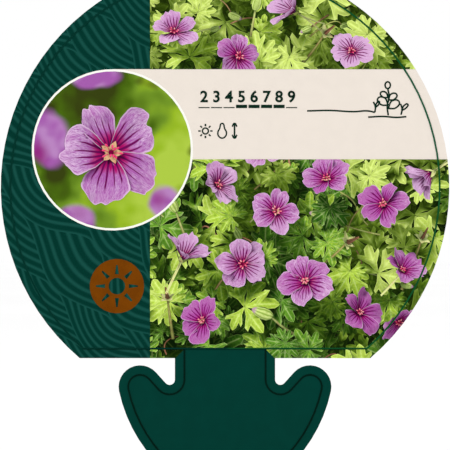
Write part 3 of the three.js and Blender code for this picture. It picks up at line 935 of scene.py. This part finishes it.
# Rays that look for the sky, and how far they and those to the sun look for something in the way.
SKY_RAYS, SKY_REACH, SUN_REACH = 14, 14.0, 30.0


def all_rays(count):
    """Directions spread over the half sphere about +Z, more of them near the pole."""
    rays = []
    for i in range(count):
        rise = math.sqrt(1 - (i + 0.5) / count)
        turn = i * GOLDEN_ANGLE
        flat = math.sqrt(1 - rise * rise)
        rays.append(Vector((flat * math.cos(turn), flat * math.sin(turn), rise)))
    return rays


def tree_of(growths):
    """One search tree over all faces of these growths."""
    points, faces = [], []
    for growth in growths:
        start = len(points)
        growth.bm.verts.index_update()
        points.extend(v.co.copy() for v in growth.bm.verts)
        faces.extend([start + v.index for v in face.verts] for face in growth.bm.faces)
    return BVHTree.FromPolygons(points, faces)


def light_up(growths, tree, reach=SKY_REACH):
    """Stores the light on each vertex: from the open sky, and from the sun where nothing stands before it."""
    rays = all_rays(SKY_RAYS)
    soft = [(SUN + 0.09 * Vector(r)).normalized() for r in ((1, 0, 0), (-1, 0, 0), (0, 0, 1), (0, 0, -1))]

    def free(start, directions, length):
        """Share of these directions in which nothing stands within a length."""
        return sum(tree.ray_cast(start, way, length)[0] is None for way in directions) / len(directions)

    for growth in growths:
        growth.bm.normal_update()
        for vert in growth.bm.verts:
            normal = vert.normal.copy()
            if normal.y > 0:
                normal.negate()
            start = vert.co + normal * 0.10
            turned_up = normal.to_track_quat("Z", "Y").to_matrix()
            sky = free(start, [turned_up @ ray for ray in rays], reach)
            sun = free(start, soft, SUN_REACH)
            vert[growth.light] = 0.60 * sky**1.35 + sun * (0.10 + 0.50 * max(0.0, normal.dot(SUN)))


# ---------------------------------------------------------------- cutting to the print areas


def cut(bm, point, normal, faces=None):
    """Cuts faces along a plane; without a list of faces, removes what lies in front of it."""
    if faces is None:
        parts = bm.verts[:] + bm.edges[:] + bm.faces[:]
        bmesh.ops.bisect_plane(bm, geom=parts, dist=1e-5, plane_co=point, plane_no=normal, clear_outer=True)
        return
    parts = set(faces)
    for face in faces:
        parts.update(face.edges)
        parts.update(face.verts)
    if parts:
        bmesh.ops.bisect_plane(bm, geom=list(parts), dist=1e-5, plane_co=point, plane_no=normal)


def reaches(face, axis, a, b):
    """Whether a face reaches into the stretch between a and b on an axis."""
    places = [v.co[axis] for v in face.verts]
    return min(places) <= max(a, b) and max(places) >= min(a, b)


def cut_hole(bm, corners):
    """Removes what lies within a convex outline of (x, z) corners that run anticlockwise for the viewer."""
    edges = list(zip(corners, corners[1:] + corners[:1]))
    for (ax, az), (bx, bz) in edges:
        near = [face for face in bm.faces if reaches(face, 0, ax, bx) and reaches(face, 2, az, bz)]
        cut(bm, (ax, 0, az), Vector((bz - az, 0, ax - bx)).normalized(), near)

    def inside(face):
        spot = face.calc_center_median()
        return all((bx - ax) * (spot.z - az) - (bz - az) * (spot.x - ax) > 0 for (ax, az), (bx, bz) in edges)

    bmesh.ops.delete(bm, geom=[face for face in bm.faces if inside(face)], context="FACES")


def cut_disc(bm, sizes):
    """Removes what lies past a line a hair inside the disc's edge, by a plane at every second degree."""
    centre, radius = Vector((0, 0, sizes.disc_height)), sizes.disc_radius - 0.03
    if not any(math.hypot(v.co.x, v.co.z - sizes.disc_height) > radius - 0.1 for v in bm.verts):
        return
    for degrees in range(0, 360, 2):
        out = Vector((math.cos(math.radians(degrees)), 0, math.sin(math.radians(degrees))))
        if any((v.co - centre).dot(out) > radius for v in bm.verts):
            cut(bm, centre + out * radius, out)


def ring_corners(x, z, radius, count):
    """Corners of a many-sided outline round a circle."""
    outer = radius / math.cos(math.pi / count)
    turns = [2 * math.pi * i / count for i in range(count)]
    return [(x + outer * math.cos(t), z + outer * math.sin(t)) for t in turns]


def cut_to_picture(bm, sizes, upper):
    """Cuts a growth to the upper or the lower picture."""
    cut(bm, (PANEL_EDGE, 0, 0), (-1, 0, 0))
    if upper:
        cut(bm, (0, 0, BAND_HIGH.z), (0, 0, -1))
    else:
        cut(bm, (0, 0, BAND_LOW.z), (0, 0, 1))
        cut(bm, (0, 0, FLAT_EDGE), (0, 0, -1))
        foot = FLAT_EDGE - 0.1
        neck = [(-NECK_HALF, foot), (NECK_HALF, foot), (NECK_TOP_HALF, TAB_HIGH), (-NECK_TOP_HALF, TAB_HIGH)]
        cut_hole(bm, neck)
    cut_hole(bm, ring_corners(INSET.x, INSET.z, INSET_RADIUS, 72))
    cut_disc(bm, sizes)


def look_spots(face, reach):
    """Points of a face: its middle, and near its corners and the middles of its edges."""
    centre = face.calc_center_median()
    ends = [v.co for v in face.verts] + [(e.verts[0].co + e.verts[1].co) / 2 for e in face.edges]
    return [centre] + [centre.lerp(end, reach) for end in ends]


def look_at(tree, spot, start=FAR_OUT):
    """What the viewer's ray through a spot meets first, from a start on the Y axis."""
    return tree.ray_cast(Vector((spot.x, start, spot.z)), Vector((0, 1, 0)))


def drop_hidden(growth, tree):
    """Removes faces that no viewer of the print can see."""

    def seen(spot):
        hit = look_at(tree, spot)[0]
        return hit is None or hit.y > spot.y - 0.12

    hidden = [face for face in growth.bm.faces if not any(seen(spot) for spot in look_spots(face, 0.85))]
    bmesh.ops.delete(growth.bm, geom=hidden, context="FACES")
    loose = [v for v in growth.bm.verts if not v.link_faces]
    bmesh.ops.delete(growth.bm, geom=loose, context="VERTS")


def covers(bm):
    """For each face, by its number, the set of faces that lie straight before it."""
    tree = BVHTree.FromBMesh(bm)
    before = [set() for face in bm.faces]
    for face in bm.faces:
        for spot in look_spots(face, 0.97):
            last, start = None, FAR_OUT
            while True:
                hit, _, index, _ = look_at(tree, spot, start)
                if hit is None:
                    break
                if last not in (None, index):
                    before[index].add(last)
                last, start = index, hit.y + 0.001
    return before


def paint_order(growth):
    """Cuts the faces to triangles, in order from back to front, so that a flat map shows the nearest."""
    bm = growth.bm
    bmesh.ops.dissolve_degenerate(bm, dist=0.0005, edges=bm.edges[:])
    bmesh.ops.triangulate(bm, faces=bm.faces[:])
    bm.faces.index_update()
    before = covers(bm)
    nearness = [-face.calc_center_median().y for face in bm.faces]
    behind = [0] * len(before)
    for index in itertools.chain(*before):
        behind[index] += 1
    ready = [(nearness[i], i) for i, count in enumerate(behind) if not count]
    heapq.heapify(ready)
    left, ranks = set(range(len(before))), {}
    while left:
        index = heapq.heappop(ready)[1] if ready else min(left, key=nearness.__getitem__)
        if index not in left:
            continue
        left.discard(index)
        ranks[index] = len(ranks)
        for front in before[index]:
            behind[front] -= 1
            if not behind[front]:
                heapq.heappush(ready, (nearness[front], front))
    bm.faces.sort(key=lambda face: ranks[face.index])


def press(growth, deep, near, back, front):
    """Presses depths from deep to near, along -Y, into the relief from back to front, its faces outwards."""
    for vert in growth.bm.verts:
        share = (-vert.co.y - deep) / (near - deep)
        vert.co.y = back + (front - back) * min(1, max(0, share))
    growth.bm.normal_update()
    for face in growth.bm.faces:
        if face.normal.y > 0:
            face.normal_flip()


def bake_map(bm):
    """Adds a map that looks straight at the print."""
    layer = bm.loops.layers.uv.new("OFBake")
    xs, zs = [v.co.x for v in bm.verts], [v.co.z for v in bm.verts]
    left, low = min(xs), min(zs)
    span = max(max(xs) - left, max(zs) - low) * 1.002
    for face in bm.faces:
        for loop in face.loops:
            loop[layer].uv = ((loop.vert.co.x - left) / span + 0.001, (loop.vert.co.z - low) / span + 0.001)


def settle(growth, slot, *nodes):
    """Makes the growth a finished piece of the label, in metres, in place of its CAD nodes."""
    bake_map(growth.bm)
    bmesh.ops.scale(growth.bm, vec=(MM, MM, MM), verts=growth.bm.verts)
    attach(mesh_of(growth.bm, growth.name, *growth.kinds), slot, *nodes)


def attach(mesh, slot, *nodes):
    """Makes a mesh a piece that rides with the label, and hides the CAD nodes that it stands for."""
    piece = bpy.data.objects.new(mesh.name, mesh)
    bpy.context.scene.collection.objects.link(piece)
    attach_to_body(piece, "root")
    if nodes:
        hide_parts(*nodes)


# ---------------------------------------------------------------- the two pictures

GARDEN = {}
# Each picture's foliage: its area, the seed of its leaves and its number of loose stems.
FOLIAGE = {
    "foliage_lower": ((PANEL_EDGE - 3, 0, 50, BAND_LOW.z + 4), 3, 44),
    "foliage_upper": ((PANEL_EDGE - 3, BAND_HIGH.z - 4, 46, SHEET_HIGH.z + 4), 4, 20),
}
# Lobes of a leaf and the degrees between two of them.
LEAF_KINDS = ((7, 46), (5, 58))


def garden():
    """Both pictures as plants in depth, grown, lit and cut to their areas once for all operators."""
    if GARDEN:
        return GARDEN
    sizes = bpy.context.scene.label_sizes
    kinds = ["leaf", "stalk", "bud", "calyx"]
    forms = [leaf_form(f"leaf_form_{i}", kinds, *LEAF_KINDS[i % 2], 11 + i) for i in range(6)]
    dice = random.Random(5)
    for name, (area, seed, stems) in FOLIAGE.items():
        growth = GARDEN[name] = Growth(name, kinds)
        grow_leaves(growth, forms, area, sizes, seed)
        grow_stems(growth, area, dice, stems)
        for head in HEADS:
            if area[1] < head[1] < area[3]:
                grow_head(growth, *head)
    blooms = [(f"bloom_{number:02d}", *values) for number, *values in BLOOMS] + SIDE_BLOOMS
    for i, (name, x, z, *form) in enumerate(blooms):
        GARDEN[name] = Growth(name, ["petal", "star", "anther", "heart", "calyx"])
        grow_bloom(GARDEN[name], Vector((x, -BLOOM_DEPTH - (i * 7 % 5), z)), *form, 101 + i)
    tree = tree_of(GARDEN.values())
    light_up(GARDEN.values(), tree)
    for growth in GARDEN.values():
        heights = [v.co.z for v in growth.bm.verts]
        cut_to_picture(growth.bm, sizes, sum(heights) / len(heights) > (BAND_LOW.z + BAND_HIGH.z) / 2)
        drop_hidden(growth, tree)
        paint_order(growth)
        press(growth, DEEP, NEAR, FOLIAGE_BACK, BLOOM_FRONT)
    for form in forms:
        bpy.data.meshes.remove(form)
    return GARDEN


# ---------------------------------------------------------------- print on the band


def upright(x, z):
    """Turns a flat XY shape to face the viewer with its centre at x and z."""
    return Matrix.Translation((x, 0, z)) @ Matrix.Rotation(math.pi / 2, 4, "X")


def mesh_from(curve):
    """The mesh that a curve or a text makes; the curve goes."""
    holder = bpy.data.objects.new(curve.name, curve)
    bpy.context.scene.collection.objects.link(holder)
    mesh = bpy.data.meshes.new_from_object(holder)
    bpy.data.objects.remove(holder)
    bpy.data.curves.remove(curve)
    return mesh


def add_bar(bm, x0, z0, x1, z1):
    """Adds a rectangle."""
    place = upright((x0 + x1) / 2, (z0 + z1) / 2) @ Matrix.Diagonal(((x1 - x0) / 2, (z1 - z0) / 2, 1, 1))
    bmesh.ops.create_grid(bm, x_segments=1, y_segments=1, size=1, matrix=place)


def add_numeral(bm, text, x, z, height):
    """Adds a number, centred on x with its foot at z."""
    curve = bpy.data.curves.new("numeral", "FONT")
    curve.body, curve.size, curve.align_x = text, height / 0.73, "CENTER"
    curve.offset = height * 0.035
    mesh = mesh_from(curve)
    mesh.transform(upright(x, z))
    bm.from_mesh(mesh)
    bpy.data.meshes.remove(mesh)


def raise_print(bm, name):
    """Raises flat shapes into a thin print on the band and makes them one piece."""
    for vert in bm.verts:
        vert.co.y = WRITING_FRONT
    made = bmesh.ops.extrude_face_region(bm, geom=bm.faces[:])
    for element in made["geom"]:
        if isinstance(element, bmesh.types.BMVert):
            element.co.y = GROUND_FRONT
    bmesh.ops.recalc_face_normals(bm, faces=bm.faces)
    bmesh.ops.scale(bm, vec=(MM, MM, MM), verts=bm.verts)
    attach(mesh_of(bm, name, "writing"), "ink_line_green")


def arc(x, z, rx, rz, start, end, count):
    """Points along a piece of an ellipse, angles in degrees."""
    turns = [math.radians(start + (end - start) * i / (count - 1)) for i in range(count)]
    return [(x + rx * math.cos(t), z + rz * math.sin(t)) for t in turns]


def draw_strokes(name, open_strokes, rings, width):
    """Draws open and closed strokes of (x, z) points as smooth lines of one width on the band."""
    curve = bpy.data.curves.new(name, "CURVE")
    curve.dimensions = "3D"
    curve.bevel_depth, curve.bevel_resolution, curve.resolution_u = width / 2, 1, 6
    curve.use_fill_caps = True
    for points in open_strokes + rings:
        spline = curve.splines.new("BEZIER")
        spline.bezier_points.add(len(points) - 1)
        for point, (x, z) in zip(spline.bezier_points, points):
            point.co = (x, 0, z)
            point.handle_left_type = point.handle_right_type = "AUTO"
        spline.use_cyclic_u = points in rings
    mesh = mesh_from(curve)
    mesh.name = name
    depth, middle = 0.04, GROUND_FRONT - 0.018
    mesh.transform(Matrix.Translation((0, middle, 0)) @ Matrix.Diagonal((1, depth / width, 1, 1)))
    mesh.transform(Matrix.Diagonal((MM, MM, MM, 1)))
    mesh.materials.append(finish("writing"))
    for face in mesh.polygons:
        face.use_smooth = True
    attach(mesh, "ink_line_green")


# ---------------------------------------------------------------- operators


class LABEL_OT_stage(bpy.types.Operator):
    """Floor, soft light and camera"""

    bl_idname = "label.stage"
    bl_label = "Stage"

    def execute(self, context):
        scene = context.scene
        bm = bmesh.new()
        bmesh.ops.create_grid(bm, x_segments=8, y_segments=8, size=5)
        bmesh.ops.translate(bm, vec=(0, 0, SHEET_LOW.z * MM), verts=bm.verts)
        floor = bpy.data.objects.new("floor", mesh_of(bm, "floor", "floor"))
        scene.collection.objects.link(floor)
        world = bpy.data.worlds.new("soft_white")
        world.use_nodes = True
        background = world.node_tree.nodes["Background"]
        background.inputs["Color"].default_value = (1, 1, 1, 1)
        background.inputs["Strength"].default_value = 1.0
        scene.world = world
        aim = Vector((0, 0, 0.03))
        for name, spot, power in (
            ("soft_key", (-0.5, -0.45, 0.75), 0.6),
            ("soft_fill", (0.6, 0.5, 0.6), 0.3),
        ):
            light = bpy.data.lights.new(name, "AREA")
            light.energy, light.size = power, 0.5
            lamp = bpy.data.objects.new(name, light)
            lamp.location = spot
            lamp.rotation_euler = (aim - lamp.location).to_track_quat("-Z", "Y").to_euler()
            scene.collection.objects.link(lamp)
        camera = bpy.data.cameras.new("camera")
        sensor, distance, height, view_width = 36, 0.75, 0.0306, 0.09437
        camera.sensor_width = sensor
        camera.lens = sensor * distance / view_width
        camera.clip_start, camera.clip_end = 0.05, 30
        view = bpy.data.objects.new("camera", camera)
        view.location = (0, -distance, height)
        view.rotation_euler = (math.pi / 2, 0, 0)
        scene.collection.objects.link(view)
        scene.camera = view
        scene.view_settings.view_transform = "Standard"
        scene.view_settings.look = "None"
        return {"FINISHED"}


class LABEL_OT_sheet(bpy.types.Operator):
    """White plastic for the die-cut sheet"""

    bl_idname = "label.sheet"
    bl_label = "Sheet"

    def execute(self, context):
        NODES["label_sheet"].material_slots[0].material = finish("sheet")
        return {"FINISHED"}


class LABEL_OT_inks(bpy.types.Operator):
    """Inks of the plain areas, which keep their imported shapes"""

    bl_idname = "label.inks"
    bl_label = "Plain inks"

    def execute(self, context):
        for node, kind in {
            "ink_tab_green": "tab",
            "ink_panel_green": "panel",
            "ink_band_cream": "cream",
            "ink_inset_ring": "ring",
            "ink_inset_ground": "inset",
            "ink_sun_badge": "copper",
            "ink_picture_upper": "depths",
            "ink_picture_lower": "depths",
        }.items():
            NODES[node].material_slots[0].material = finish(kind)
        return {"FINISHED"}


class LABEL_OT_foliage(bpy.types.Operator):
    """Leaves, stems and buds of both pictures"""

    bl_idname = "label.foliage"
    bl_label = "Foliage"

    def execute(self, context):
        leaves = {name: [] for name in FOLIAGE}
        for name in NODES:
            if name.startswith("ink_leaf"):
                low = box_mm(name)[0].z < BAND_LOW.z
                leaves["foliage_lower" if low else "foliage_upper"].append(name)
        for name, nodes in leaves.items():
            settle(garden()[name], "ink_leaf_bright", *nodes)
        return {"FINISHED"}


class LABEL_OT_blooms(bpy.types.Operator):
    """Open blooms of both pictures"""

    bl_idname = "label.blooms"
    bl_label = "Blooms"

    def execute(self, context):
        for bloom in BLOOMS:
            number = f"{bloom[0]:02d}"
            settle(garden()["bloom_" + number], "ink_bloom", "ink_bloom_" + number, "ink_eye_" + number)
        for bloom in SIDE_BLOOMS:
            settle(garden()[bloom[0]], "ink_bloom")
        return {"FINISHED"}


class LABEL_OT_inset_bloom(bpy.types.Operator):
    """The large bloom in the round inset"""

    bl_idname = "label.inset_bloom"
    bl_label = "Inset bloom"

    def execute(self, context):
        growth = Growth("inset_bloom", ["large_petal", "star", "anther", "heart"])
        x, z, *form = INSET_BLOOM
        grow_bloom(growth, Vector((x, -INSET_BLOOM_DEPTH, z)), *form, 41, large=True)
        tree = tree_of([growth])
        light_up([growth], tree, 6.0)
        drop_hidden(growth, tree)
        paint_order(growth)
        press(growth, INSET_DEEP, INSET_NEAR, INSET_BACK, INSET_FRONT)
        settle(growth, "ink_bloom", "ink_inset_bloom", "ink_inset_eye")
        return {"FINISHED"}


class LABEL_OT_border_line(bpy.types.Operator):
    """The thin line all round, printed over the pictures, with a bar across the top of the neck"""

    bl_idname = "label.border_line"
    bl_label = "Border line"

    def execute(self, context):
        bm = bmesh.new()
        bm.from_mesh(NODES["ink_border_line"].data)
        bmesh.ops.remove_doubles(bm, verts=bm.verts, dist=1e-7)
        ys = [v.co.y for v in bm.verts]
        middle = (min(ys) + max(ys)) / 2
        for vert in bm.verts:
            vert.co.y = LINE_FRONT * MM if vert.co.y < middle else GROUND_FRONT * MM
        crossing = Matrix.Translation(Vector((0, (LINE_FRONT + GROUND_FRONT) / 2, LINE_FOOT)) * MM)
        size = Vector((2 * LINE_NECK_HALF, GROUND_FRONT - LINE_FRONT, LINE_WIDTH)) * MM
        bmesh.ops.create_cube(bm, size=1, matrix=crossing @ Matrix.Diagonal((*size, 1)))
        attach(mesh_of(bm, "border_line", "line"), "ink_line_green", "ink_border_line")
        return {"FINISHED"}


class LABEL_OT_calendar(bpy.types.Operator):
    """Flowering calendar on the band: the months by number over thin bars, thick ones for those in bloom"""

    bl_idname = "label.calendar"
    bl_label = "Calendar"

    def execute(self, context):
        bm = bmesh.new()
        left, pitch, gap = -5.7, 2.62, 0.15
        number_foot, number_height = 56.4, 2.4
        bar_foot, thin_top, thick_top = 55.1, 55.3, 55.8
        for month in range(2, 10):
            start = left + (month - 2) * pitch
            add_numeral(bm, str(month), start + 0.5 * pitch, number_foot, number_height)
            top = thick_top if 5 <= month <= 8 else thin_top
            add_bar(bm, start + gap, bar_foot, start + pitch - gap, top)
        raise_print(bm, "calendar")
        return {"FINISHED"}


class LABEL_OT_care_signs(bpy.types.Operator):
    """Small care signs under the calendar: sun, water and a height arrow"""

    bl_idname = "label.care_signs"
    bl_label = "Care signs"

    def execute(self, context):
        sun_x, sun_z, sun_radius = -4.1, 50.3, 0.62
        strokes, rings = [], [arc(sun_x, sun_z, sun_radius, sun_radius, 0, 330, 12)]
        for i in range(8):
            right, up = math.cos(i * math.pi / 4), math.sin(i * math.pi / 4)
            strokes.append([(sun_x + r * right, sun_z + r * up) for r in (1.0, 1.5)])
        drop = [(-0.6, 51.9), (-0.05, 50.75), (0.3, 50.0), (0.1, 49.2)]
        drop += [(-0.6, 48.8), (-1.3, 49.2), (-1.5, 50.0), (-1.15, 50.75)]
        rings.append(drop)
        arrow_x, barb = 2.0, 0.5
        strokes.append([(arrow_x, 48.9), (arrow_x, 51.8)])
        for tip, back in ((51.9, 51.2), (48.8, 49.5)):
            strokes.append([(arrow_x - barb, back), (arrow_x, tip), (arrow_x + barb, back)])
        draw_strokes("care_signs", strokes, rings, 0.36)
        return {"FINISHED"}


class LABEL_OT_drawing(bpy.types.Operator):
    """Line drawing of a sprouting plant at the end of the band"""

    bl_idname = "label.drawing"
    bl_label = "Line drawing"

    def execute(self, context):
        stem = 34.2
        strokes = [
            [(17.2, 54.5), (22.0, 54.6), (27.0, 54.35), (30.0, 54.5), (31.4, 54.2)],
            [(30.0, 53.2), (33.0, 53.35), (36.0, 53.15), (38.0, 53.3)],
            [(stem, 53.6), (34.0, 55.6), (34.4, 57.4), (34.1, 59.2)],
            [(31.4, 54.2), (31.5, 55.4), (31.1, 56.4)],
            [(31.5, 55.2), (32.2, 55.9), (32.3, 56.5), (31.7, 56.0), (31.5, 55.2)],
            [(36.9, 53.7), (37.1, 54.9), (36.8, 56.0)],
            [(37.0, 54.6), (37.9, 55.1), (38.3, 55.9), (37.5, 55.6), (37.0, 54.6)],
        ]
        for side, base, size in ((1, 55.0, 2.3), (-1, 55.7, 2.2), (1, 56.8, 1.8), (-1, 57.3, 1.6)):
            along = ((0, 0), (0.38, 0.72), (1, 0.62), (0.72, 0.08), (0, 0))
            strokes.append([(stem + side * size * x, base + size * z) for x, z in along])
        head = arc(34.1, 59.9, 0.55, 0.7, -90, 240, 10)
        draw_strokes("plant_drawing", strokes, [head], context.scene.label_sizes.stroke)
        return {"FINISHED"}


class LABEL_PT_panel(bpy.types.Panel):
    """Lists the label's pieces"""

    bl_label = "Plant Label"
    bl_idname = "LABEL_PT_panel"
    bl_space_type = "VIEW_3D"
    bl_region_type = "UI"
    bl_category = "Plant Label"

    def draw(self, context):
        for operator in OPERATORS:
            self.layout.operator(operator.bl_idname)
        for group in (context.scene.label_sizes, context.scene.label_colours):
            column = self.layout.column()
            for name in group.__annotations__:
                column.prop(group, name)


OPERATORS = (
    LABEL_OT_stage,
    LABEL_OT_sheet,
    LABEL_OT_inks,
    LABEL_OT_foliage,
    LABEL_OT_blooms,
    LABEL_OT_inset_bloom,
    LABEL_OT_border_line,
    LABEL_OT_calendar,
    LABEL_OT_care_signs,
    LABEL_OT_drawing,
)
CLASSES = (LabelSizes, LabelColours, *OPERATORS, LABEL_PT_panel)


def register():
    for cls in CLASSES:
        bpy.utils.register_class(cls)
    bpy.types.Scene.label_sizes = PointerProperty(type=LabelSizes)
    bpy.types.Scene.label_colours = PointerProperty(type=LabelColours)


def unregister():
    del bpy.types.Scene.label_colours
    del bpy.types.Scene.label_sizes
    for cls in reversed(CLASSES):
        bpy.utils.unregister_class(cls)


def main():
    register()
    bpy.ops.label.stage()
    bpy.ops.label.sheet()
    bpy.ops.label.inks()
    bpy.ops.label.foliage()
    bpy.ops.label.blooms()
    bpy.ops.label.inset_bloom()
    bpy.ops.label.border_line()
    bpy.ops.label.calendar()
    bpy.ops.label.care_signs()
    bpy.ops.label.drawing()


if __name__ == "__main__":
    main()
